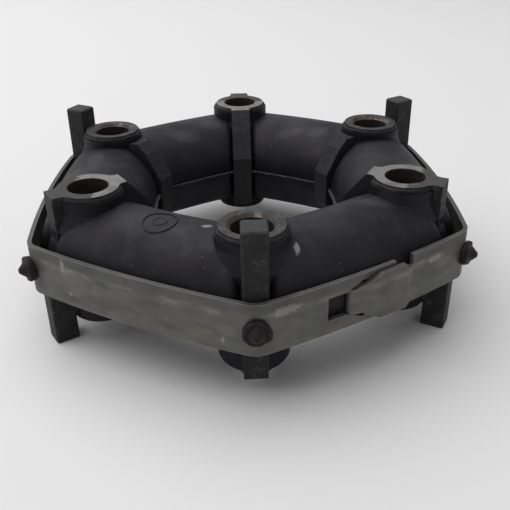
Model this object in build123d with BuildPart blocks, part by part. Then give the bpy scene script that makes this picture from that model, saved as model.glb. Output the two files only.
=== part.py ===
# Six-bolt flexible disc coupling: a rubber ring moulded on to six cast inserts that face up and down
# in turn, held in by a hooked steel band. Millimetres, +Z up, the origin on the axis at the mid-plane.
import os
from math import asin, cos, degrees, radians, sin, sqrt, tan

from build123d import *

# The ring of corners
corner_count = 6
corner_step = 360 / corner_count
corner_names = ["front", "front_right", "back_right", "back", "back_left", "front_left"]
first_corner_angle = -90.0  # the front corner, whose tang points up
pitch_radius = 65.0  # bolt circle

# Cast insert: bush, web plate and tang in one piece
bore_diameter = 14.2  # clearance for an M14 bolt
bush_diameter = 22.0
mating_height = 25.5  # mid-plane to the bare machined face
collar_height = 24.5  # mid-plane to the ring face on the tang side
lead_in = 1.2  # chamfer of the bore on the tang side
deburr = 0.3  # chamfer of the bore on the mating face
plate_thickness = 8.2
inner_fin = 2.0  # how far it runs past the bush, on the mating face
outer_fin = 3.6  # how far it runs past the bush, on the mating face
fin_blend = 3.0  # fillet between the fins and the bush
rib_depth = 15.5  # bush wall to the plate's inner edge at the mid-plane
rib_flat = 6.5  # half height of that upright edge
rib_knee = (9.0, 17.0)  # distance past the bush and height where the edge turns steeper
rib_neck = (5.0, 22.0)  # distance past the bush and height where it meets the shoulder
web_height = 21.0  # mid-plane to the plate's edge on the tang side
tang_gap = 1.1  # bush wall to the tang's inner face
tang_depth = 8.8
tang_height = 32.0  # mid-plane to the tang's end
tang_root = 4.0  # mid-plane to where the tang begins
tang_edge = 0.8  # rounding of the tang's four long edges
tang_chamfer = 0.6

# Steel band
band_height = 18.5
band_thickness = 1.5
band_standoff = 3.8  # tang's outer face to the sides' meeting point, on the outer face
band_bow = 2.6  # rise of each side over its chord
band_bend = 8.0  # outer radius of the six corners
pip_hole_diameter = 6.6

# The band's joint, measured along its side from the side's middle
joint_after_corner = 0  # the side from the front corner to the next
window_start = -19.5
window_flare = -12.0  # from here the window widens towards the bar
window_half_height = 4.2
window_wide_half_height = 6.9
window_corner = 1.0
bar_start = -3.2  # the bar that the tongue hooks round
bar_end = 8.0
notch_start = 12.4
shoulder = 16.0  # where the strip has its full height again
notch_floor = 5.5  # height of the neck's upper edge over the mid-plane
notch_slope = 1.4
tongue_top = 8.1  # height of the tongue's upper edge over the mid-plane
tongue_taper_start = 1.0
tongue_waist = (-6.0, 5.2)
tongue_nose_half_height = 2.6
tongue_nose = -11.25  # furthest point of the hairpin
hairpin_gap = 0.9  # between the hairpin's two legs
hook_half_width = 4.0
hook_end = 3.0
tongue_root = 1.5  # how far the tongue's own bend reaches into the full strip
lap_clearance = 0.2  # between the tongue and the bar

# Rubber ring
tube_radius = 20.4
tube_bow = 2.2  # rise of each segment's centre line over its chord
tube_end_rounding = 3.5  # where a segment meets a web plate
core_inset = 3.0  # how far the rubber behind the plates lies inside the segments
sleeve_wall = 1.4
sleeve_flare = 2.4
sleeve_foot = 13.0  # mid-plane to the foot of the sleeve's flare
sleeve_waist = 19.0  # mid-plane to where the sleeve turns straight
sleeve_setback = 2.0  # bush end to the sleeve's rim
band_clearance = 0.2  # rubber to band
pip_stem_clearance = 0.3
pip_collar_diameter = 9.0
pip_collar_length = 1.0
pip_head_diameter = 7.4
hook_clearance = 0.3  # rubber to the tongue's hook
pip_collar_slope = 0.5
pip_length = 4.6
pip_tip_diameter = 1.6
pip_seat_clearance = 0.15

# Worked out
bush_radius = bush_diameter / 2
fin_reach_in = bush_radius + inner_fin
fin_reach_out = bush_radius + outer_fin
rib_reach = bush_radius + rib_depth
tang_reach = bush_radius + tang_gap
band_corner_radius = pitch_radius + tang_reach + tang_depth + band_standoff
half_side = band_corner_radius * sin(radians(corner_step / 2))
band_mid_radius = band_corner_radius * cos(radians(corner_step / 2)) + band_bow
side_radius = (half_side**2 + band_bow**2) / (2 * band_bow)
half_bend = corner_step / 2 - degrees(asin(half_side / side_radius))
band_apex_radius = band_corner_radius - band_bend * (1 / cos(radians(half_bend)) - 1)
joint_angle = first_corner_angle + corner_step * (joint_after_corner + 0.5)
tube_mid_radius = band_mid_radius - band_thickness - band_clearance - tube_radius
half_chord = (tube_mid_radius - tube_bow) * tan(radians(corner_step / 2))
tube_path_radius = (half_chord**2 + tube_bow**2) / (2 * tube_bow)
plan_reach = 2 * band_corner_radius  # larger than anything in plan
tall = 2 * tang_height  # larger than anything in height
pip_stem_diameter = pip_hole_diameter - 2 * pip_stem_clearance
tongue_over = band_mid_radius + lap_clearance + band_thickness / 2  # centre of the strip over the bar
hook_under = band_mid_radius - 1.5 * band_thickness - lap_clearance  # centre of the hook's lower leg
hairpin_top = hook_under + band_thickness + hairpin_gap


def direction(angle):
    return Vector(cos(radians(angle)), sin(radians(angle)), 0)


# The joint's side of the band, in elevation and in plan; x runs along the side in both
joint = Plane(origin=(0, 0, 0), x_dir=direction(joint_angle + 90), z_dir=direction(joint_angle))
joint_plan = Plane(origin=(0, 0, 0), x_dir=joint.x_dir, z_dir=(0, 0, -1))


def corner_direction(number):
    return direction(first_corner_angle + corner_step * number)


def direction_across(number):
    return direction(first_corner_angle + corner_step * number - 90)


def band_face(inset):
    # The band's outline, six bowed sides with bent corners, drawn in from its outer face by an inset.
    half_step = radians(corner_step / 2)
    side_centre = band_mid_radius - side_radius
    radius = side_radius - inset
    corner = side_centre * cos(half_step) + sqrt(radius**2 - (side_centre * sin(half_step)) ** 2)
    with BuildSketch() as face:
        with BuildLine():
            for number in range(corner_count):
                ThreePointArc(
                    corner_direction(number) * corner,
                    corner_direction(number + 0.5) * (band_mid_radius - inset),
                    corner_direction(number + 1) * corner,
                )
        make_face()
        fillet(face.vertices(), radius=band_bend - inset)
    return face.sketch


def build_insert(number, mating_up):
    # In plan the casting is drawn from its mating side, in section with that side upwards.
    axial = 1 if mating_up else -1
    plan = Plane(origin=(0, 0, 0), x_dir=corner_direction(number), z_dir=(0, 0, axial))
    section = Plane(origin=(0, 0, 0), x_dir=corner_direction(number), z_dir=-plan.y_dir)
    height = Axis((0, 0, 0), plan.z_dir)
    bush_axis = Vector(pitch_radius, 0)
    with BuildPart() as insert:
        # Web plate, with its bent inner edge
        with BuildSketch(section):
            with BuildLine():
                Polyline(
                    (pitch_radius - fin_reach_in, mating_height),
                    (pitch_radius - bush_radius - rib_neck[0], rib_neck[1]),
                    (pitch_radius - bush_radius - rib_knee[0], rib_knee[1]),
                    (pitch_radius - rib_reach, rib_flat),
                    (pitch_radius - rib_reach, -rib_flat),
                    (pitch_radius - bush_radius - rib_knee[0], -rib_knee[1]),
                    (pitch_radius - bush_radius - rib_neck[0], -web_height),
                    (pitch_radius + fin_reach_out, -web_height),
                    (pitch_radius + fin_reach_out, mating_height),
                    close=True,
                )
            make_face()
        extrude(amount=plate_thickness / 2, both=True)
        # Bush with the blends of its two fins, flush with the mating face
        with BuildSketch(plan.offset(-web_height)) as blend:
            with Locations(bush_axis):
                Circle(bush_radius)
                Rectangle(fin_reach_in, plate_thickness, align=(Align.MAX, Align.CENTER))
                Rectangle(fin_reach_out, plate_thickness, align=(Align.MIN, Align.CENTER))
            roots = blend.vertices().filter_by(
                lambda vertex: abs((vertex.center() - bush_axis).length - bush_radius) < 0.01
            )
            fillet(roots, radius=fin_blend)
        extrude(amount=web_height + mating_height)
        with BuildSketch(plan.offset(-collar_height)):
            with Locations(bush_axis):
                Circle(bush_radius)
        extrude(amount=collar_height + mating_height)
        # Tang
        with BuildSketch(plan.offset(-tang_height)):
            with Locations((pitch_radius + tang_reach + tang_depth / 2, 0)):
                RectangleRounded(tang_depth, plate_thickness, tang_edge)
        extrude(amount=tang_height - tang_root)
        chamfer(insert.faces().sort_by(height)[0].edges(), length=tang_chamfer)
        # Bore
        with Locations(plan.offset(mating_height)):
            with Locations(bush_axis):
                Hole(bore_diameter / 2)
        mouths = insert.edges().filter_by(GeomType.CIRCLE)
        mouths = mouths.filter_by(lambda edge: abs(edge.radius - bore_diameter / 2) < 0.01)
        mouths = mouths.sort_by(height)
        chamfer(mouths[0], length=lead_in)
        chamfer(mouths[-1], length=deburr)
    return insert


def tube(radius, end_setback, end_rounding):
    # One segment of the rubber tube, between the first two corners, cut off near both web plates.
    middle = direction(first_corner_angle + corner_step / 2)
    centre = middle * (tube_mid_radius - tube_path_radius)
    half_turn = 2 * asin(half_chord / tube_path_radius)
    start = first_corner_angle + corner_step / 2 - degrees(half_turn)
    section = Plane(origin=centre, x_dir=direction(start), z_dir=direction(start - 90))
    sides = [corner_direction(0), corner_direction(1)]
    setback = middle * (end_setback / sin(radians(corner_step / 2)))
    with BuildPart() as segment:
        with BuildSketch(section):
            with Locations((tube_path_radius, 0)):
                Circle(radius)
        revolve(axis=Axis(centre, (0, 0, 1)), revolution_arc=2 * degrees(half_turn))
        with BuildSketch(Plane.XY.offset(-tall / 2)):
            with BuildLine():
                Polyline(
                    setback,
                    setback + sides[0] * plan_reach,
                    setback + sides[1] * plan_reach,
                    close=True,
                )
            make_face()
        extrude(amount=tall, mode=Mode.INTERSECT)
        if end_rounding:
            ends = segment.faces().filter_by(GeomType.PLANE)
            fillet(ends.edges(), radius=end_rounding)
    return segment


def build_sleeve(number, rim_height, upward):
    # Rubber round one end of a bush, flaring out on to the tube.
    section = Plane(
        origin=corner_direction(number) * pitch_radius,
        x_dir=corner_direction(number) if upward else -corner_direction(number),
        z_dir=direction_across(number),
    )
    wall = bush_radius + sleeve_wall
    foot = wall + sleeve_flare
    with BuildPart() as sleeve:
        with BuildSketch(section):
            with BuildLine():
                Polyline(
                    (0, 0),
                    (foot, 0),
                    (foot, sleeve_foot),
                    (wall, sleeve_waist),
                    (wall, rim_height),
                    (0, rim_height),
                    close=True,
                )
            make_face()
        revolve(axis=Axis(section.origin, (0, 0, 1)))
    return sleeve


def build_pip(number):
    # Pip through the band's corner hole: a stem, a squeezed collar and a blunt cone.
    outward = corner_direction(number)
    section = Plane(origin=(0, 0, 0), x_dir=outward, z_dir=direction_across(number))
    root = pitch_radius + tang_reach
    seat = band_apex_radius + pip_seat_clearance
    with BuildPart() as pip:
        with BuildSketch(section):
            with BuildLine():
                Polyline(
                    (root, 0),
                    (root, pip_stem_diameter / 2),
                    (seat, pip_stem_diameter / 2),
                    (seat, pip_collar_diameter / 2),
                    (seat + pip_collar_length, pip_collar_diameter / 2),
                    (seat + pip_collar_length + pip_collar_slope, pip_head_diameter / 2),
                    (seat + pip_length, pip_tip_diameter / 2),
                    (seat + pip_length, 0),
                    close=True,
                )
            make_face()
        revolve(axis=Axis((0, 0, 0), outward))
    return pip


inserts = [build_insert(number, mating_up=number % 2 == 1) for number in range(corner_count)]
bulge = tube(tube_radius, plate_thickness / 2, tube_end_rounding)
core = tube(tube_radius - core_inset, 0, 0)

with BuildPart() as rubber_ring:
    with PolarLocations(0, corner_count):
        add(core.part)
        add(bulge.part)
    sleeves = []
    for number in range(corner_count):
        mating_up = number % 2 == 1
        for upward in (True, False):
            bush_end = mating_height if upward == mating_up else collar_height
            sleeves.append(build_sleeve(number, bush_end - sleeve_setback, upward).part)
    add(sleeves)
    add([build_pip(number).part for number in range(corner_count)])
    # The room that the inserts fill
    with PolarLocations(pitch_radius, corner_count, start_angle=first_corner_angle):
        Cylinder(bore_diameter / 2 + lead_in, tall, mode=Mode.SUBTRACT)
    add([insert.part for insert in inserts], mode=Mode.SUBTRACT)
    # Pocket for the tongue's hook
    with BuildSketch(joint.offset(hook_under - band_thickness / 2 - hook_clearance)):
        with Locations(((tongue_nose + hook_end) / 2, 0)):
            Rectangle(
                hook_end - tongue_nose + 2 * hook_clearance,
                2 * (hook_half_width + hook_clearance),
            )
    extrude(amount=band_bend, mode=Mode.SUBTRACT)


def side_face(along):
    # Outer face of a bowed side, as a distance from the axis, at a distance along it.
    return band_mid_radius - side_radius + sqrt(side_radius**2 - along**2)


with BuildPart() as tongue:
    with BuildSketch(joint_plan.offset(-band_height / 2)):
        with BuildLine():
            FilletPolyline(
                (shoulder + tongue_root, side_face(shoulder + tongue_root) - band_thickness / 2),
                (shoulder, side_face(shoulder) - band_thickness / 2),
                (notch_start, tongue_over),
                (bar_start - lap_clearance, tongue_over),
                (tongue_waist[0], hairpin_top),
                (tongue_nose + band_thickness / 2, hairpin_top),
                (tongue_nose + band_thickness / 2, hook_under),
                (hook_end, hook_under),
                radius=0.49 * (hairpin_top - hook_under),
            )
        trace(line_width=band_thickness)
    extrude(amount=band_height)
    with BuildSketch(joint.offset(pitch_radius)):
        with BuildLine():
            Polyline(
                (shoulder + 2 * tongue_root, -band_height / 2),
                (shoulder + 2 * tongue_root, band_height / 2),
                (shoulder, band_height / 2),
                (shoulder, notch_floor),
                (notch_start, notch_floor),
                (notch_start - notch_slope, tongue_top),
                (tongue_taper_start, tongue_top),
                tongue_waist,
                (2 * tongue_nose, tongue_nose_half_height),
                (2 * tongue_nose, -tongue_nose_half_height),
                (tongue_waist[0], -tongue_waist[1]),
                (tongue_taper_start, -band_height / 2),
                close=True,
            )
        make_face()
    extrude(amount=pitch_radius, mode=Mode.INTERSECT)
    with BuildSketch(joint.offset(pitch_radius)):
        Rectangle(2 * half_side, band_height)
        Rectangle(2 * half_side, 2 * hook_half_width, mode=Mode.SUBTRACT)
    extrude(amount=hook_under + band_thickness - pitch_radius, mode=Mode.SUBTRACT)

with BuildPart() as retaining_band:
    with BuildSketch(Plane.XY.offset(-band_height / 2)):
        add(band_face(0))
        add(band_face(band_thickness), mode=Mode.SUBTRACT)
    extrude(amount=band_height)
    for number in range(corner_count):
        with BuildSketch(Plane(origin=corner_direction(number) * pitch_radius, z_dir=corner_direction(number))):
            Circle(pip_hole_diameter / 2)
        extrude(amount=pitch_radius, mode=Mode.SUBTRACT)
    # Gap between the bar and the shoulder, and the window
    with BuildSketch(joint.offset(pitch_radius)):
        with Locations(((bar_end + shoulder) / 2, 0)):
            Rectangle(shoulder - bar_end, 2 * band_height)
        with BuildLine():
            Polyline(
                (window_start, window_half_height),
                (window_flare, window_half_height),
                (tongue_waist[0], window_wide_half_height),
                (bar_start, window_wide_half_height),
                (bar_start, -window_wide_half_height),
                (tongue_waist[0], -window_wide_half_height),
                (window_flare, -window_half_height),
                (window_start, -window_half_height),
                close=True,
            )
        make_face()
    extrude(amount=pitch_radius, mode=Mode.SUBTRACT)
    add(tongue.part)

pieces = {"rubber_ring": rubber_ring, "retaining_band": retaining_band}
for number, place in enumerate(corner_names):
    pieces["insert_" + place] = inserts[number]
os.makedirs("parts", exist_ok=True)
for label, piece in pieces.items():
    piece.part.label = label
    export_step(piece.part, f"parts/{label}.step")
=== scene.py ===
import math
import random

import bpy
from mathutils import Matrix, Vector


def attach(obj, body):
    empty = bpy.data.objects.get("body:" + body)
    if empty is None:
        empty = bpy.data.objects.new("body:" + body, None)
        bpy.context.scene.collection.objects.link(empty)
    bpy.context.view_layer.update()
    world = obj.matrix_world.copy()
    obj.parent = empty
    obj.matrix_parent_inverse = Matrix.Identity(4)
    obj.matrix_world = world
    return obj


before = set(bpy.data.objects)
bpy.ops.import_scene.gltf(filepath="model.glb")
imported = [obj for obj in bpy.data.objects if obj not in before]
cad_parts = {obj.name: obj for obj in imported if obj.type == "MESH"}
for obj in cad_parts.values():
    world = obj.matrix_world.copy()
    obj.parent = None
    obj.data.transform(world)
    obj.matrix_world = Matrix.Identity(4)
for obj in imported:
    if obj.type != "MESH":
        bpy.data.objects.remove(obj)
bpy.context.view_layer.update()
print("frame loaded")

millimetre = 0.001

coupling = {
    "corners": ["front", "front_right", "back_right", "back", "back_left", "front_left"],
    "firstAngle": -90.0,  # degrees, the front corner
    "pitchRadius": 0.065,
    "boreRadius": 0.0071,
    "matingHeight": 0.0255,
    "collarHeight": 0.0245,
    "tangHeight": 0.032,
    "tubeRadius": 0.0204,
    "tubeMiddle": 0.05818,  # axis to the middle of a segment's centre line
    "tubeBend": 0.2385,  # radius of that bowed line
    "pipSeat": 0.0892,
    "sideMiddle": 0.0802,  # axis to the middle of a band side
    "sideBend": 0.388,  # radius of a band side's bow
}


def cornerAngle(number):
    return math.radians(coupling["firstAngle"] + 60 * number)


def around(angle, radius, height=0.0):
    return Vector((radius * math.cos(angle), radius * math.sin(angle), height))


# Camera

cameraSetup = {
    "place": (-0.0074, -0.2619, 0.1211),  # metres, from the coupling's centre
    "azimuth": -2.38,
    "elevation": 28.70,
    "roll": -0.89,
    "lens": 49.26,
    "sensor": 36.0,
}


def makeCamera(setup):
    azimuth = math.radians(setup["azimuth"])
    elevation = math.radians(setup["elevation"])
    roll = math.radians(setup["roll"])
    back = Vector(
        (
            math.sin(azimuth) * math.cos(elevation),
            -math.cos(azimuth) * math.cos(elevation),
            math.sin(elevation),
        )
    )
    right = Vector((math.cos(azimuth), math.sin(azimuth), 0))
    up = back.cross(right)
    rolledRight = right * math.cos(roll) + up * math.sin(roll)
    rolledUp = up * math.cos(roll) - right * math.sin(roll)
    camera = bpy.data.cameras.new("camera")
    camera.lens = setup["lens"]
    camera.sensor_width = setup["sensor"]
    cameraObject = bpy.data.objects.new("camera", camera)
    bpy.context.scene.collection.objects.link(cameraObject)
    turn = Matrix((rolledRight, rolledUp, back)).transposed().to_4x4()
    cameraObject.matrix_world = Matrix.Translation(setup["place"]) @ turn
    bpy.context.scene.camera = cameraObject


makeCamera(cameraSetup)
print("camera placed")

# Studio: pale floor, a wide soft lamp overhead and an even world

studio = {
    "floorColour": (0.83, 0.82, 0.83, 1),
    "floorSize": 8.0,
    "floorRoughness": 0.7,
    "floorSpecular": 0.2,
    "lampSize": 2.4,
    "lampPlace": (-0.55, 0.25, 1.30),
    "lampPower": 27.5,
    "worldLevel": 0.34,
    "backdropLevel": 0.62,
}


def feed(tree, node, inputs):  # a socket is linked, anything else is set as a value
    for key, value in inputs.items():
        if isinstance(value, bpy.types.NodeSocket):
            tree.links.new(value, node.inputs[key])
        else:
            node.inputs[key].default_value = value


def addNode(tree, kind, inputs=None, **settings):
    made = tree.nodes.new(kind)
    for name, value in settings.items():
        setattr(made, name, value)
    feed(tree, made, inputs or {})
    return made


def makeStudio(setup):
    bpy.ops.object.select_all(action="DESELECT")
    bpy.ops.mesh.primitive_plane_add(
        size=setup["floorSize"], location=(0, 0, -coupling["tangHeight"])
    )
    floor = bpy.context.active_object
    floor.name = "floor"
    bpy.ops.object.transform_apply(location=True, rotation=True, scale=True)
    paint = bpy.data.materials.new("floorPaint")
    paint.use_nodes = True
    shader = paint.node_tree.nodes["Principled BSDF"]
    shader.inputs["Base Color"].default_value = setup["floorColour"]
    shader.inputs["Roughness"].default_value = setup["floorRoughness"]
    shader.inputs["Specular IOR Level"].default_value = setup["floorSpecular"]
    floor.data.materials.append(paint)
    lamp = bpy.data.lights.new("softLamp", "AREA")
    lamp.size = setup["lampSize"]
    lamp.energy = setup["lampPower"]
    lampObject = bpy.data.objects.new("softLamp", lamp)
    bpy.context.scene.collection.objects.link(lampObject)
    aim = -Vector(setup["lampPlace"])
    lampObject.rotation_euler = aim.to_track_quat("-Z", "Y").to_euler()
    lampObject.location = setup["lampPlace"]
    world = bpy.data.worlds.new("studio")
    bpy.context.scene.world = world
    world.use_nodes = True
    tree = world.node_tree
    tree.nodes.clear()
    path = addNode(tree, "ShaderNodeLightPath")
    seen = addNode(
        tree,
        "ShaderNodeMath",
        {0: path.outputs["Is Camera Ray"], 1: path.outputs["Is Glossy Ray"]},
        operation="MAXIMUM",
    )
    seen = addNode(
        tree,
        "ShaderNodeMath",
        {0: seen.outputs[0], 1: path.outputs["Is Transmission Ray"]},
        operation="MAXIMUM",
    )
    level = addNode(
        tree,
        "ShaderNodeMapRange",
        {"Value": seen.outputs[0], "To Min": setup["worldLevel"], "To Max": setup["backdropLevel"]},
    )
    sky = addNode(
        tree, "ShaderNodeBackground", {"Color": (1, 1, 1, 1), "Strength": level.outputs[0]}
    )
    addNode(tree, "ShaderNodeOutputWorld", {"Surface": sky.outputs[0]})


makeStudio(studio)
bpy.context.scene.view_settings.view_transform = "Standard"
print("studio lit")

# Effects that several finishes share


def startGroup(name, inputs, outputs):
    group = bpy.data.node_groups.new(name, "ShaderNodeTree")
    for socketName, kind, value in inputs:
        socket = group.interface.new_socket(socketName, in_out="INPUT", socket_type=kind)
        socket.default_value = value
    for socketName, kind in outputs:
        group.interface.new_socket(socketName, in_out="OUTPUT", socket_type=kind)
    return group, group.nodes.new("NodeGroupInput"), group.nodes.new("NodeGroupOutput")


def makeCloudGroup():
    # patchy mask between two thresholds of a noise
    group, given, result = startGroup(
        "patches",
        [
            ("Vector", "NodeSocketVector", (0, 0, 0)),
            ("Scale", "NodeSocketFloat", 100.0),
            ("Detail", "NodeSocketFloat", 4.0),
            ("Low", "NodeSocketFloat", 0.4),
            ("High", "NodeSocketFloat", 0.6),
        ],
        [("Mask", "NodeSocketFloat")],
    )
    noise = addNode(
        group,
        "ShaderNodeTexNoise",
        {
            "Vector": given.outputs["Vector"],
            "Scale": given.outputs["Scale"],
            "Detail": given.outputs["Detail"],
        },
    )
    mask = addNode(
        group,
        "ShaderNodeMapRange",
        {
            "Value": noise.outputs[0],
            "From Min": given.outputs["Low"],
            "From Max": given.outputs["High"],
        },
        interpolation_type="SMOOTHSTEP",
    )
    group.links.new(mask.outputs[0], result.inputs["Mask"])
    return group


def makeWearGroup():
    # worn edges, where a rounded normal leaves the surface's own
    group, given, result = startGroup(
        "edgeWear",
        [("Radius", "NodeSocketFloat", 0.0005), ("Gain", "NodeSocketFloat", 6.0)],
        [("Mask", "NodeSocketFloat")],
    )
    rounded = addNode(group, "ShaderNodeBevel", {"Radius": given.outputs["Radius"]}, samples=4)
    surface = addNode(group, "ShaderNodeNewGeometry")
    match = addNode(
        group,
        "ShaderNodeVectorMath",
        {0: rounded.outputs[0], 1: surface.outputs["Normal"]},
        operation="DOT_PRODUCT",
    )
    gap = addNode(
        group, "ShaderNodeMath", {0: 1.0, 1: match.outputs["Value"]}, operation="SUBTRACT"
    )
    mask = addNode(
        group,
        "ShaderNodeMath",
        {0: gap.outputs[0], 1: given.outputs["Gain"]},
        operation="MULTIPLY",
        use_clamp=True,
    )
    group.links.new(mask.outputs[0], result.inputs["Mask"])
    return group


def makeSpotGroup():
    # one ragged spot round a point
    group, given, result = startGroup(
        "spot",
        [
            ("Vector", "NodeSocketVector", (0, 0, 0)),
            ("Centre", "NodeSocketVector", (0, 0, 0)),
            ("Stretch", "NodeSocketVector", (1, 1, 1)),
            ("Size", "NodeSocketFloat", 0.002),
            ("Ragged", "NodeSocketFloat", 0.5),
        ],
        [("Mask", "NodeSocketFloat")],
    )
    offset = addNode(
        group,
        "ShaderNodeVectorMath",
        {0: given.outputs["Vector"], 1: given.outputs["Centre"]},
        operation="SUBTRACT",
    )
    drawn = addNode(
        group,
        "ShaderNodeVectorMath",
        {0: offset.outputs[0], 1: given.outputs["Stretch"]},
        operation="MULTIPLY",
    )
    reach = addNode(group, "ShaderNodeVectorMath", {0: drawn.outputs[0]}, operation="LENGTH")
    share = addNode(
        group,
        "ShaderNodeMath",
        {0: reach.outputs["Value"], 1: given.outputs["Size"]},
        operation="DIVIDE",
    )
    noise = addNode(
        group,
        "ShaderNodeTexNoise",
        {"Vector": given.outputs["Vector"], "Scale": 900.0, "Detail": 3.0},
    )
    centred = addNode(group, "ShaderNodeMath", {0: noise.outputs[0], 1: 0.5}, operation="SUBTRACT")
    torn = addNode(
        group,
        "ShaderNodeMath",
        {0: centred.outputs[0], 1: given.outputs["Ragged"], 2: share.outputs[0]},
        operation="MULTIPLY_ADD",
    )
    mask = addNode(
        group,
        "ShaderNodeMapRange",
        {"Value": torn.outputs[0], "From Min": 1.0, "From Max": 0.45},
        interpolation_type="SMOOTHSTEP",
    )
    group.links.new(mask.outputs[0], result.inputs["Mask"])
    return group


def makeGrainGroup():
    # height of a fine and a coarse grain together
    group, given, result = startGroup(
        "grain",
        [
            ("Vector", "NodeSocketVector", (0, 0, 0)),
            ("Fine", "NodeSocketFloat", 3000.0),
            ("Coarse", "NodeSocketFloat", 400.0),
            ("Coarse Share", "NodeSocketFloat", 1.0),
        ],
        [("Height", "NodeSocketFloat")],
    )
    fine = addNode(
        group,
        "ShaderNodeTexNoise",
        {
            "Vector": given.outputs["Vector"],
            "Scale": given.outputs["Fine"],
            "Detail": 3.0,
            "Roughness": 0.6,
        },
    )
    coarse = addNode(
        group,
        "ShaderNodeTexNoise",
        {"Vector": given.outputs["Vector"], "Scale": given.outputs["Coarse"], "Detail": 3.0},
    )
    height = addNode(
        group,
        "ShaderNodeMath",
        {0: coarse.outputs[0], 1: given.outputs["Coarse Share"], 2: fine.outputs[0]},
        operation="MULTIPLY_ADD",
    )
    group.links.new(height.outputs[0], result.inputs["Height"])
    return group


patchGroup = makeCloudGroup()
wearGroup = makeWearGroup()
spotGroup = makeSpotGroup()
grainGroup = makeGrainGroup()


def useGroup(tree, group, inputs):
    placed = tree.nodes.new("ShaderNodeGroup")
    placed.node_tree = group
    feed(tree, placed, inputs)
    return placed.outputs[0]


def startMaterial(name):
    material = bpy.data.materials.new(name)
    material.use_nodes = True
    tree = material.node_tree
    coordinates = addNode(tree, "ShaderNodeTexCoord")
    return material, tree, tree.nodes["Principled BSDF"], coordinates.outputs["Object"]


def blendColour(tree, mask, first, second):
    made = addNode(tree, "ShaderNodeMix", {0: mask, 6: first, 7: second}, data_type="RGBA")
    return made.outputs[2]


def mathOf(tree, operation, first, second=0.0, third=0.0, clamp=False):
    made = addNode(
        tree,
        "ShaderNodeMath",
        {0: first, 1: second, 2: third},
        operation=operation,
        use_clamp=clamp,
    )
    return made.outputs[0]


def ramp(tree, value, low, high, toLow=0.0, toHigh=1.0):
    made = addNode(
        tree,
        "ShaderNodeMapRange",
        {"Value": value, "From Min": low, "From Max": high, "To Min": toLow, "To Max": toHigh},
        interpolation_type="SMOOTHSTEP",
    )
    return made.outputs[0]


print("shared effects made")

# Rubber

rubberLook = {
    "deep": (0.0042, 0.0038, 0.0056, 1),
    # tone that lightens upward-facing surfaces in broad patches
    "upwardTone": (0.0130, 0.0122, 0.0155, 1),
    # paler tone for patches that grow stronger on upward-facing surfaces
    "upwardPatches": (0.0400, 0.0385, 0.0440, 1),
    "pip": (0.0090, 0.0065, 0.0060, 1),
    "pale": (0.4200, 0.4100, 0.4000, 1),
    "specular": 0.22,
    "pipReach": (0.0888, 0.0893),  # from the axis, where the pips start
    "tint": (0.95, 0.90, 1.0, 1),
    "specks": [  # centre, size and stretch
        ((-0.0144, -0.0573, 0.0204), 0.0016, (0.75, 1, 1)),
        ((0.0138, -0.0697, 0.0177), 0.0021, (1.8, 0.7, 0.8)),
    ],
    # painted highlights: faint pale smears on the tube tops where the lamp's highlights fall;
    # centre, size and stretch
    "highlightSmears": [
        ((0.0343, 0.0384, 0.0190), 0.0050, (0.8, 1, 1)),
        ((0.0230, 0.0420, 0.0170), 0.0045, (0.4, 1.5, 1)),
        ((-0.0143, 0.0513, 0.0194), 0.0045, (0.6, 1, 1)),
        ((-0.0260, 0.0400, 0.0180), 0.0050, (0.4, 1.3, 1)),
        ((-0.0600, 0.0050, 0.0200), 0.0060, (1.5, 0.5, 1)),
        ((0.0450, -0.0420, 0.0200), 0.0060, (0.6, 1.2, 1)),
    ],
}


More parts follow.
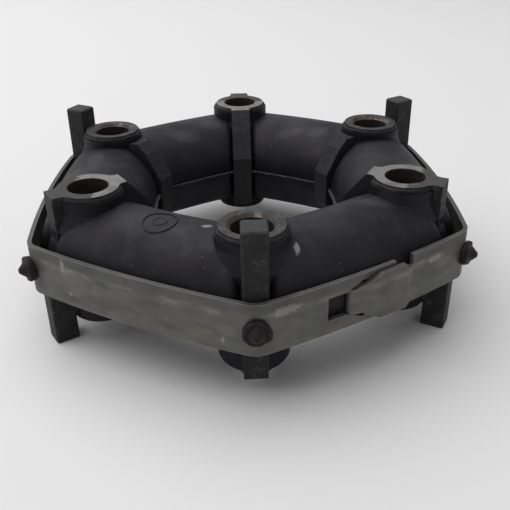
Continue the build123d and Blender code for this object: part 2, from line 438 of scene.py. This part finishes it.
def makeRubber(look):
    material, tree, shader, place = startMaterial("mouldedRubber")
    surface = addNode(tree, "ShaderNodeNewGeometry")
    facing = addNode(tree, "ShaderNodeSeparateXYZ", {0: surface.outputs["Normal"]})
    upward = ramp(tree, facing.outputs[2], -0.1, 0.9)
    broad = useGroup(
        tree, patchGroup, {"Vector": place, "Scale": 34.0, "Detail": 5.0, "Low": 0.36, "High": 0.66}
    )
    patchNoise = useGroup(
        tree,
        patchGroup,
        {"Vector": place, "Scale": 130.0, "Detail": 6.0, "Low": 0.48, "High": 0.74},
    )
    # lighter towards upward-facing surfaces, in broad patches
    upwardLightening = mathOf(tree, "MULTIPLY", broad, upward)
    colour = blendColour(tree, upwardLightening, look["deep"], look["upwardTone"])
    # paler patches, stronger on upward-facing surfaces
    upwardPatches = mathOf(tree, "MULTIPLY", patchNoise, ramp(tree, facing.outputs[2], 0.2, 1.0, 0.05, 0.5))
    colour = blendColour(tree, upwardPatches, colour, look["upwardPatches"])
    flecks = addNode(tree, "ShaderNodeTexVoronoi", {"Vector": place, "Scale": 260.0})
    fleck = ramp(tree, flecks.outputs["Distance"], 0.085, 0.03)
    colour = blendColour(tree, mathOf(tree, "MULTIPLY", fleck, 0.22), colour, look["pale"])
    radial = addNode(tree, "ShaderNodeVectorMath", {0: place, 1: (1, 1, 0)}, operation="MULTIPLY")
    reach = addNode(tree, "ShaderNodeVectorMath", {0: radial.outputs[0]}, operation="LENGTH")
    pip = ramp(tree, reach.outputs["Value"], *look["pipReach"])
    colour = blendColour(tree, pip, colour, look["pip"])
    spots = None
    for centre, size, stretch in look["specks"]:
        spot = useGroup(
            tree,
            spotGroup,
            {"Vector": place, "Centre": centre, "Size": size, "Stretch": stretch, "Ragged": 0.9},
        )
        spots = spot if spots is None else mathOf(tree, "MAXIMUM", spots, spot)
    colour = blendColour(tree, mathOf(tree, "MULTIPLY", spots, 0.55), colour, look["pale"])
    # painted highlights: faint pale smears on the tube tops
    highlightSmears = None
    for centre, size, stretch in look["highlightSmears"]:
        highlightSmear = useGroup(
            tree,
            spotGroup,
            {"Vector": place, "Centre": centre, "Size": size, "Stretch": stretch, "Ragged": 0.5},
        )
        highlightSmears = highlightSmear if highlightSmears is None else mathOf(tree, "MAXIMUM", highlightSmears, highlightSmear)
    colour = blendColour(tree, mathOf(tree, "MULTIPLY", highlightSmears, 0.045), colour, look["pale"])
    tree.links.new(colour, shader.inputs["Base Color"])
    fineSheen = useGroup(
        tree, patchGroup, {"Vector": place, "Scale": 55.0, "Detail": 4.0, "Low": 0.3, "High": 0.7}
    )
    tree.links.new(ramp(tree, fineSheen, 0.0, 1.0, 0.44, 0.62), shader.inputs["Roughness"])
    shader.inputs["Specular IOR Level"].default_value = look["specular"]
    shader.inputs["Specular Tint"].default_value = look["tint"]
    height = useGroup(
        tree, grainGroup, {"Vector": place, "Fine": 2600.0, "Coarse": 190.0, "Coarse Share": 1.6}
    )
    bump = addNode(
        tree, "ShaderNodeBump", {"Height": height, "Strength": 0.22, "Distance": 0.00035}
    )
    tree.links.new(bump.outputs[0], shader.inputs["Normal"])
    return material


rubber = makeRubber(rubberLook)
tornRubber = makeRubber(
    {**rubberLook, "deep": (0.045, 0.043, 0.048, 1), "upwardTone": (0.075, 0.073, 0.080, 1)}
)
tornRubber.name = "tornRubber"
print("rubber finish made")

# Castings, each with masks round its own bush

castingLook = {
    "skin": (0.0090, 0.0086, 0.0095, 1),
    "dull": (0.0520, 0.0510, 0.0470, 1),
    "worn": (0.0950, 0.0940, 0.0890, 1),
    "ring": (0.0640, 0.0630, 0.0620, 1),
    "coat": (0.0125, 0.0118, 0.0145, 1),
    "bare": (0.2300, 0.2270, 0.2180, 1),
    "bore": (0.0160, 0.0115, 0.0095, 1),
    "mouth": (0.1200, 0.1050, 0.0960, 1),
    "specular": 0.35,
}


castingZones = {  # where each change starts and ends, from the mid-plane or the bush axis
    "bareFace": (0.02535, 0.02545),
    "tornSkin": (-0.0040, -0.0010),
    "coatedWeb": (0.0120, 0.0140),
    "tangSide": (-0.0243, -0.0244),
    "ring": (0.0113, 0.0110),
    "tangEnd": (-0.0314, -0.0318),
    "mouthReach": (0.0085, 0.0083),
    "mouthDepth": (-0.02325, -0.02335),
}


def makeCasting(look, number):
    name = "casting" + coupling["corners"][number].title().replace("_", "")
    material, tree, shader, place = startMaterial(name)
    angle = cornerAngle(number)
    side = 1 if number % 2 else -1  # which way the bare face looks
    centre = around(angle, coupling["pitchRadius"])
    offset = addNode(
        tree, "ShaderNodeVectorMath", {0: place, 1: centre}, operation="SUBTRACT"
    ).outputs[0]
    flat = addNode(
        tree, "ShaderNodeVectorMath", {0: offset, 1: (1, 1, 0)}, operation="MULTIPLY"
    ).outputs[0]
    reach = addNode(tree, "ShaderNodeVectorMath", {0: flat}, operation="LENGTH").outputs["Value"]
    inward = addNode(
        tree, "ShaderNodeVectorMath", {0: flat, 1: -around(angle, 1.0)}, operation="DOT_PRODUCT"
    ).outputs["Value"]
    height = mathOf(
        tree, "MULTIPLY", addNode(tree, "ShaderNodeSeparateXYZ", {0: place}).outputs[2], side
    )
    cloud = useGroup(
        tree,
        patchGroup,
        {"Vector": place, "Scale": 210.0, "Detail": 5.0, "Low": 0.46, "High": 0.66},
    )
    fine = useGroup(
        tree,
        patchGroup,
        {"Vector": place, "Scale": 700.0, "Detail": 4.0, "Low": 0.40, "High": 0.70},
    )
    wear = useGroup(tree, wearGroup, {"Radius": 0.0007, "Gain": 3.5})
    colour = blendColour(tree, mathOf(tree, "MULTIPLY", cloud, fine), look["skin"], look["dull"])
    worn = mathOf(tree, "MULTIPLY", wear, ramp(tree, fine, 0.0, 1.0, 0.35, 1.0))
    colour = blendColour(tree, worn, colour, look["worn"])
    coated = mathOf(tree, "MULTIPLY", ramp(tree, inward, *castingZones["coatedWeb"]), 0.85)
    colour = blendColour(tree, coated, colour, look["coat"])
    onTangEnd = ramp(tree, height, *castingZones["tangSide"])
    ringShade = ramp(tree, cloud, 0.0, 1.0, 0.45, 1.0)
    onRing = mathOf(tree, "MULTIPLY", onTangEnd, ramp(tree, reach, *castingZones["ring"]))
    colour = blendColour(tree, mathOf(tree, "MULTIPLY", onRing, ringShade), colour, look["ring"])
    onTop = mathOf(tree, "MULTIPLY", ramp(tree, height, *castingZones["tangEnd"]), 0.45)
    colour = blendColour(tree, onTop, colour, look["ring"])
    # bare face, with a ragged skin of rubber over its outer part
    onFace = ramp(tree, height, *castingZones["bareFace"])
    torn = addNode(
        tree, "ShaderNodeTexNoise", {"Vector": place, "Scale": 260.0, "Detail": 5.0}
    ).outputs[0]
    tornEdge = mathOf(tree, "MULTIPLY_ADD", mathOf(tree, "SUBTRACT", torn, 0.5), 0.016, inward)
    clean = ramp(tree, tornEdge, *castingZones["tornSkin"])
    bare = mathOf(tree, "MULTIPLY", onFace, clean)
    rings = addNode(
        tree,
        "ShaderNodeTexWave",
        {"Vector": flat, "Scale": 420.0, "Distortion": 1.2, "Detail": 2.0},
        wave_type="RINGS",
        rings_direction="SPHERICAL",
    )
    turned = rings.outputs["Fac"]
    bareTone = blendColour(tree, mathOf(tree, "MULTIPLY", cloud, 0.45), look["bare"], look["ring"])
    colour = blendColour(tree, bare, colour, bareTone)
    duskyFace = mathOf(tree, "MULTIPLY", onFace, mathOf(tree, "SUBTRACT", 1.0, clean))
    colour = blendColour(tree, mathOf(tree, "MULTIPLY", duskyFace, 0.7), colour, look["ring"])
    inBore = ramp(tree, reach, coupling["boreRadius"] + 0.0003, coupling["boreRadius"] + 0.0001)
    colour = blendColour(tree, inBore, colour, look["bore"])
    mouthReach = ramp(tree, reach, *castingZones["mouthReach"])
    mouthDepth = ramp(tree, height, *castingZones["mouthDepth"])
    mouth = mathOf(
        tree,
        "MULTIPLY",
        mathOf(tree, "MULTIPLY", mouthReach, mouthDepth),
        ramp(tree, cloud, 0.0, 1.0, 0.35, 1.0),
    )
    colour = blendColour(tree, mathOf(tree, "MULTIPLY", mouth, 0.9), colour, look["mouth"])
    tree.links.new(colour, shader.inputs["Base Color"])
    metal = mathOf(tree, "MAXIMUM", bare, mouth)
    tree.links.new(mathOf(tree, "MULTIPLY_ADD", metal, 0.75, 0.1), shader.inputs["Metallic"])
    dullness = ramp(tree, fine, 0.0, 1.0, 0.62, 0.78)
    gloss = mathOf(tree, "MULTIPLY_ADD", turned, 0.12, 0.34)
    mixed = addNode(tree, "ShaderNodeMix", {0: metal, 2: dullness, 3: gloss}, data_type="FLOAT")
    tree.links.new(mixed.outputs[0], shader.inputs["Roughness"])
    shader.inputs["Specular IOR Level"].default_value = look["specular"]
    skin = useGroup(
        tree, grainGroup, {"Vector": place, "Fine": 1900.0, "Coarse": 420.0, "Coarse Share": 1.4}
    )
    rough = mathOf(tree, "MULTIPLY", skin, mathOf(tree, "SUBTRACT", 1.0, metal))
    relief = mathOf(tree, "MULTIPLY_ADD", mathOf(tree, "MULTIPLY", turned, metal), 0.06, rough)
    bump = addNode(tree, "ShaderNodeBump", {"Height": relief, "Strength": 0.6, "Distance": 0.0004})
    tree.links.new(bump.outputs[0], shader.inputs["Normal"])
    return material


castings = [makeCasting(castingLook, number) for number in range(6)]
print("casting finishes made")

# Galvanised band

bandLook = {
    "zinc": (0.118, 0.117, 0.112, 1),
    "warm": (0.148, 0.136, 0.116, 1),
    "green": (0.104, 0.110, 0.100, 1),
    "dark": (0.055, 0.054, 0.054, 1),
    "bright": (0.300, 0.297, 0.285, 1),
    "streaks": [  # distance along from a side's middle, height, size, and which side
        (-28.0, 6.0, 1.7, (1.6, 1.6, 0.5), 5),
        (-26.0, -4.5, 1.0, (1, 1, 1), 5),
        (33.5, -5.5, 0.9, (1, 1, 0.7), 5),
        (-35.0, 5.0, 3.2, (0.5, 0.5, 1.6), 0),
        (27.0, 4.0, 2.6, (0.5, 0.5, 1.5), 0),
    ],
}


bandZones = {  # heights over the mid-plane where each change starts and ends
    # painted shade: a darker strip just under the top edge, where the curled band turns from the
    # light
    "curlShadeFoot": (0.0048, 0.0068),
    "curlShadeTop": (0.0091, 0.0086),
    # painted highlight: a lighter strip lower down, where light catches the curled band
    "curlHighlightFoot": (0.0025, 0.0045),
    "curlHighlightTop": (0.0062, 0.0048),
}


def makeBandSteel(look):
    material, tree, shader, place = startMaterial("galvanisedBand")
    height = addNode(tree, "ShaderNodeSeparateXYZ", {0: place}).outputs[2]
    drawn = addNode(
        tree, "ShaderNodeMapping", {"Vector": place, "Scale": (1.0, 1.0, 2.2)}
    ).outputs[0]
    broad = useGroup(
        tree, patchGroup, {"Vector": drawn, "Scale": 60.0, "Detail": 5.0, "Low": 0.40, "High": 0.64}
    )
    mottle = useGroup(
        tree,
        patchGroup,
        {"Vector": place, "Scale": 240.0, "Detail": 6.0, "Low": 0.40, "High": 0.66},
    )
    spangle = addNode(
        tree, "ShaderNodeTexVoronoi", {"Vector": drawn, "Scale": 190.0}, feature="SMOOTH_F1"
    )
    grey = blendColour(tree, mottle, look["zinc"], look["warm"])
    colour = blendColour(tree, mathOf(tree, "MULTIPLY", broad, 0.5), grey, look["green"])
    cell = ramp(tree, spangle.outputs["Distance"], 0.1, 0.8, 0.0, 0.35)
    colour = blendColour(tree, cell, colour, look["dark"])
    soot = useGroup(
        tree,
        patchGroup,
        {"Vector": drawn, "Scale": 110.0, "Detail": 5.0, "Low": 0.50, "High": 0.72},
    )
    # painted shade: a darker strip just under the top edge, where the curled band turns from the
    # light
    curlShade = mathOf(
        tree,
        "MULTIPLY",
        ramp(tree, height, *bandZones["curlShadeFoot"]),
        ramp(tree, height, *bandZones["curlShadeTop"]),
    )
    colour = blendColour(tree, mathOf(tree, "MULTIPLY", curlShade, 0.45), colour, look["dark"])
    colour = blendColour(tree, mathOf(tree, "MULTIPLY", soot, 0.5), colour, look["dark"])
    # painted highlight: a patchy lighter strip lower down, where light catches the curled band
    lift = mathOf(
        tree,
        "MULTIPLY",
        ramp(tree, height, *bandZones["curlHighlightFoot"]),
        ramp(tree, height, *bandZones["curlHighlightTop"]),
    )
    highlightPatches = useGroup(
        tree,
        patchGroup,
        {"Vector": drawn, "Scale": 150.0, "Detail": 5.0, "Low": 0.50, "High": 0.66},
    )
    colour = blendColour(
        tree,
        mathOf(tree, "MULTIPLY", mathOf(tree, "MULTIPLY", lift, highlightPatches), 0.28),
        colour,
        look["bright"],
    )
    flecks = addNode(tree, "ShaderNodeTexVoronoi", {"Vector": drawn, "Scale": 300.0})
    fleck = ramp(tree, flecks.outputs["Distance"], 0.12, 0.04)
    colour = blendColour(tree, mathOf(tree, "MULTIPLY", fleck, 0.35), colour, look["bright"])
    spots = None
    for along, level, size, stretch, side in look["streaks"]:
        angle = cornerAngle(side + 0.5)
        across = around(angle + math.pi / 2, along * millimetre)
        centre = around(
            angle,
            coupling["sideMiddle"] - (along * millimetre) ** 2 / (2 * coupling["sideBend"]),
            level * millimetre,
        ) + across
        spot = useGroup(
            tree,
            spotGroup,
            {
                "Vector": place,
                "Centre": centre,
                "Size": size * millimetre,
                "Stretch": stretch,
                "Ragged": 1.6,
            },
        )
        spots = spot if spots is None else mathOf(tree, "MAXIMUM", spots, spot)
    colour = blendColour(tree, mathOf(tree, "MULTIPLY", spots, 0.6), colour, look["bright"])
    # painted shade: upward-facing edges darkened, to dull the overhead lamp's light on them
    surface = addNode(tree, "ShaderNodeNewGeometry")
    facing = addNode(tree, "ShaderNodeSeparateXYZ", {0: surface.outputs["Normal"]}).outputs[2]
    topEdgeShade = mathOf(tree, "MULTIPLY", ramp(tree, facing, 0.6, 0.9), 0.55)
    colour = blendColour(tree, topEdgeShade, colour, look["dark"])
    wear = useGroup(tree, wearGroup, {"Radius": 0.0004, "Gain": 3.0})
    colour = blendColour(tree, mathOf(tree, "MULTIPLY", wear, 0.8), colour, look["bright"])
    tree.links.new(colour, shader.inputs["Base Color"])
    tree.links.new(ramp(tree, mottle, 0.0, 1.0, 0.35, 0.55), shader.inputs["Metallic"])
    tree.links.new(ramp(tree, broad, 0.0, 1.0, 0.46, 0.62), shader.inputs["Roughness"])
    relief = useGroup(
        tree, grainGroup, {"Vector": drawn, "Fine": 1500.0, "Coarse": 160.0, "Coarse Share": 1.5}
    )
    bump = addNode(tree, "ShaderNodeBump", {"Height": relief, "Strength": 0.3, "Distance": 0.0004})
    tree.links.new(bump.outputs[0], shader.inputs["Normal"])
    return material


bandSteel = makeBandSteel(bandLook)
print("band finish made")


def dress(node, material):
    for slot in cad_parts[node].material_slots:
        slot.material = material


dress("rubber_ring", rubber)
dress("retaining_band", bandSteel)
for number, corner in enumerate(coupling["corners"]):
    dress("insert_" + corner, castings[number])

# Small rubber details


def finishPiece(piece, name, material=rubber, smooth=50):
    piece.name = name
    piece.data.name = name
    bpy.ops.object.select_all(action="DESELECT")
    piece.select_set(True)
    bpy.context.view_layer.objects.active = piece
    bpy.ops.object.transform_apply(location=True, rotation=True, scale=True)
    bpy.ops.object.shade_smooth_by_angle(angle=math.radians(smooth))
    piece.data.materials.clear()
    piece.data.materials.append(material)
    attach(piece, "root")


partingLine = {
    "width": 0.00045,  # along the axis
    "stand": 0.0011,  # how far it stands off the tube's inner wall
    "sunk": 0.0006,
    "steps": 44,
    "reach": 0.0165,  # to each side of the segment's middle
    "weld": 0.00001,
    "ragged": 0.00045,
    "seed": 3,
}


def makePartingLine(setup, number):
    # thin torn fin left along the inner equator of one tube segment
    angle = cornerAngle(number + 0.5)
    centre = around(angle, coupling["tubeMiddle"] - coupling["tubeBend"])
    inner = coupling["tubeBend"] - coupling["tubeRadius"]
    half = setup["reach"] / inner
    middle = inner - setup["stand"] / 2 + setup["sunk"] / 2
    start = centre + around(angle - half, middle)
    bpy.ops.object.select_all(action="DESELECT")
    bpy.ops.mesh.primitive_plane_add(
        size=1, location=start, rotation=(math.pi / 2, 0, angle - half)
    )
    piece = bpy.context.active_object
    piece.scale = (setup["stand"] + setup["sunk"], setup["width"], 1)
    bpy.ops.object.transform_apply(location=True, rotation=True, scale=True)
    bpy.ops.object.mode_set(mode="EDIT")
    bpy.ops.mesh.select_all(action="SELECT")
    bpy.ops.mesh.spin(steps=setup["steps"], angle=-2 * half, center=centre, axis=(0, 0, 1))
    bpy.ops.mesh.select_all(action="SELECT")
    bpy.ops.mesh.remove_doubles(threshold=setup["weld"])
    bpy.ops.mesh.fill_holes(sides=4)
    bpy.ops.mesh.normals_make_consistent(inside=False)
    bpy.ops.object.mode_set(mode="OBJECT")
    chance = random.Random(setup["seed"] + number)
    columns = {}
    for vertex in piece.data.vertices:
        out = Vector((vertex.co.x, vertex.co.y)) - Vector((centre.x, centre.y))
        if out.length > inner:
            continue
        key = round(math.atan2(out.y, out.x), 4)
        if key not in columns:
            columns[key] = (chance.uniform(-0.6, 1.0), chance.uniform(-0.4, 0.4))
        pull, lift = columns[key]
        shift = out.normalized() * setup["ragged"] * pull
        vertex.co.x += shift.x
        vertex.co.y += shift.y
        vertex.co.z += setup["ragged"] * lift
    finishPiece(piece, "parting_line_" + str(number + 1), tornRubber)


for number in range(6):
    makePartingLine(partingLine, number)
print("parting lines made")

bushLip = {
    "radius": 0.01115,  # middle of the lip, from the bush axis
    "thick": 0.00075,
    "tall": 1.7,  # height over thickness
    "setback": 0.0019,  # below the bush's end
    "rise": 0.0005,  # how far the torn edge wanders
    "around": 64,
    "section": 8,
    "seed": 21,
}


def makeBushLip(setup):
    # torn rubber edge round one end of a bush, modelled at the axis and copied to the others
    bpy.ops.object.select_all(action="DESELECT")
    bpy.ops.mesh.primitive_torus_add(
        major_segments=setup["around"],
        minor_segments=setup["section"],
        major_radius=setup["radius"],
        minor_radius=setup["thick"],
    )
    lip = bpy.context.active_object
    lip.scale = (1, 1, setup["tall"])
    bpy.ops.object.transform_apply(location=True, rotation=True, scale=True)
    return lip


def tearLip(piece, setup, seed, way):
    chance = random.Random(seed)
    waves = [
        (chance.uniform(0, 6.28), order, chance.uniform(0.3, 1.0) / order**0.5)
        for order in (2, 3, 5, 9, 14)
    ]
    for vertex in piece.data.vertices:
        turn = math.atan2(vertex.co.y, vertex.co.x)
        wander = sum(size * math.sin(order * turn + phase) for phase, order, size in waves) / 2.2
        if vertex.co.z * way > -0.0001:
            vertex.co.z += way * setup["rise"] * (wander + chance.uniform(-0.25, 0.25)) * 0.8
        out = Vector((vertex.co.x, vertex.co.y))
        if out.length > setup["radius"]:
            grown = out.normalized() * chance.uniform(-0.1, 0.35) * setup["thick"]
            vertex.co.x += grown.x
            vertex.co.y += grown.y


lipModel = makeBushLip(bushLip)
for number in range(6):
    for way in (1, -1):
        bare = (number % 2 == 1) == (way == 1)
        end = coupling["matingHeight"] if bare else coupling["collarHeight"]
        piece = lipModel.copy()
        piece.data = lipModel.data.copy()
        bpy.context.scene.collection.objects.link(piece)
        tearLip(piece, bushLip, bushLip["seed"] + 2 * number + (way > 0), way)
        piece.location = around(
            cornerAngle(number), coupling["pitchRadius"], way * (end - bushLip["setback"])
        )
        side = "top" if way > 0 else "under"
        finishPiece(piece, "bush_lip_" + coupling["corners"][number] + "_" + side)
bpy.data.objects.remove(lipModel)
print("bush lips made")

pipBurr = {
    "radius": 0.0036,
    "thick": 0.0010,
    "stand": 0.0012,  # outside the band
    "ragged": 0.0007,
    "around": 44,
    "section": 10,
    "seed": 60,
}


def makePipBurr(setup, number):
    # squeezed, torn rim of the pip outside the band
    angle = cornerAngle(number)
    bpy.ops.object.select_all(action="DESELECT")
    bpy.ops.mesh.primitive_torus_add(
        major_segments=setup["around"],
        minor_segments=setup["section"],
        major_radius=setup["radius"],
        minor_radius=setup["thick"],
        location=around(angle, coupling["pipSeat"] + setup["stand"]),
        rotation=(0, math.pi / 2, angle),
    )
    piece = bpy.context.active_object
    bpy.ops.object.transform_apply(location=True, rotation=True, scale=True)
    chance = random.Random(setup["seed"] + number)
    waves = [
        (chance.uniform(0, 6.28), order, chance.uniform(0.4, 1.0) / order**0.5)
        for order in (2, 3, 5, 8, 13)
    ]
    heart = around(angle, coupling["pipSeat"])
    out = around(angle, 1.0)
    for vertex in piece.data.vertices:
        offset = vertex.co - heart
        stand = offset.dot(out)
        flat = offset - out * stand
        turn = math.atan2(flat.z, flat.dot(around(angle + math.pi / 2, 1.0)))
        wander = sum(size * math.sin(order * turn + phase) for phase, order, size in waves) / 2.2
        grow = wander * setup["ragged"] if flat.length > setup["radius"] else 0.0
        vertex.co += flat.normalized() * grow + out * max(stand, 0.0) * wander * 0.25
    smoothing = piece.modifiers.new("soften", "SUBSURF")
    smoothing.levels = 1
    smoothing.render_levels = 1
    bpy.ops.object.modifier_apply(modifier="soften")
    finishPiece(piece, "pip_burr_" + coupling["corners"][number])


for number in range(6):
    makePipBurr(pipBurr, number)
print("pip burrs made")

mouldMark = {
    "centre": (-0.0300, -0.0522, 0.0203),
    "normal": (0.010, 0.010, 1.0),
    "around": 72,
    "section": 8,
    "rings": [  # radius, thickness, stand-off
        (0.0059, 0.00030, 0.00008),
        (0.0024, 0.00020, 0.00002),
    ],
}


def makeMouldMark(setup):
    # two fine rings from a plug in the mould, laid on the tube
    normal = Vector(setup["normal"]).normalized()
    turn = normal.to_track_quat("Z", "Y").to_euler()
    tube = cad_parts["rubber_ring"]
    for count, (radius, thick, stand) in enumerate(setup["rings"]):
        bpy.ops.object.select_all(action="DESELECT")
        bpy.ops.mesh.primitive_torus_add(
            major_segments=setup["around"],
            minor_segments=setup["section"],
            major_radius=radius,
            minor_radius=thick,
            location=setup["centre"],
            rotation=turn,
        )
        piece = bpy.context.active_object
        bpy.ops.object.transform_apply(location=True, rotation=True, scale=True)
        for vertex in piece.data.vertices:
            rise = (vertex.co - Vector(setup["centre"])).dot(normal)
            foot = vertex.co - normal * rise
            met, point, _, _ = tube.ray_cast(foot + normal * 0.01, -normal)
            if met:
                vertex.co = point + normal * (rise + stand)
        finishPiece(piece, "mould_mark_" + str(count + 1))


makeMouldMark(mouldMark)
print("mould mark made")
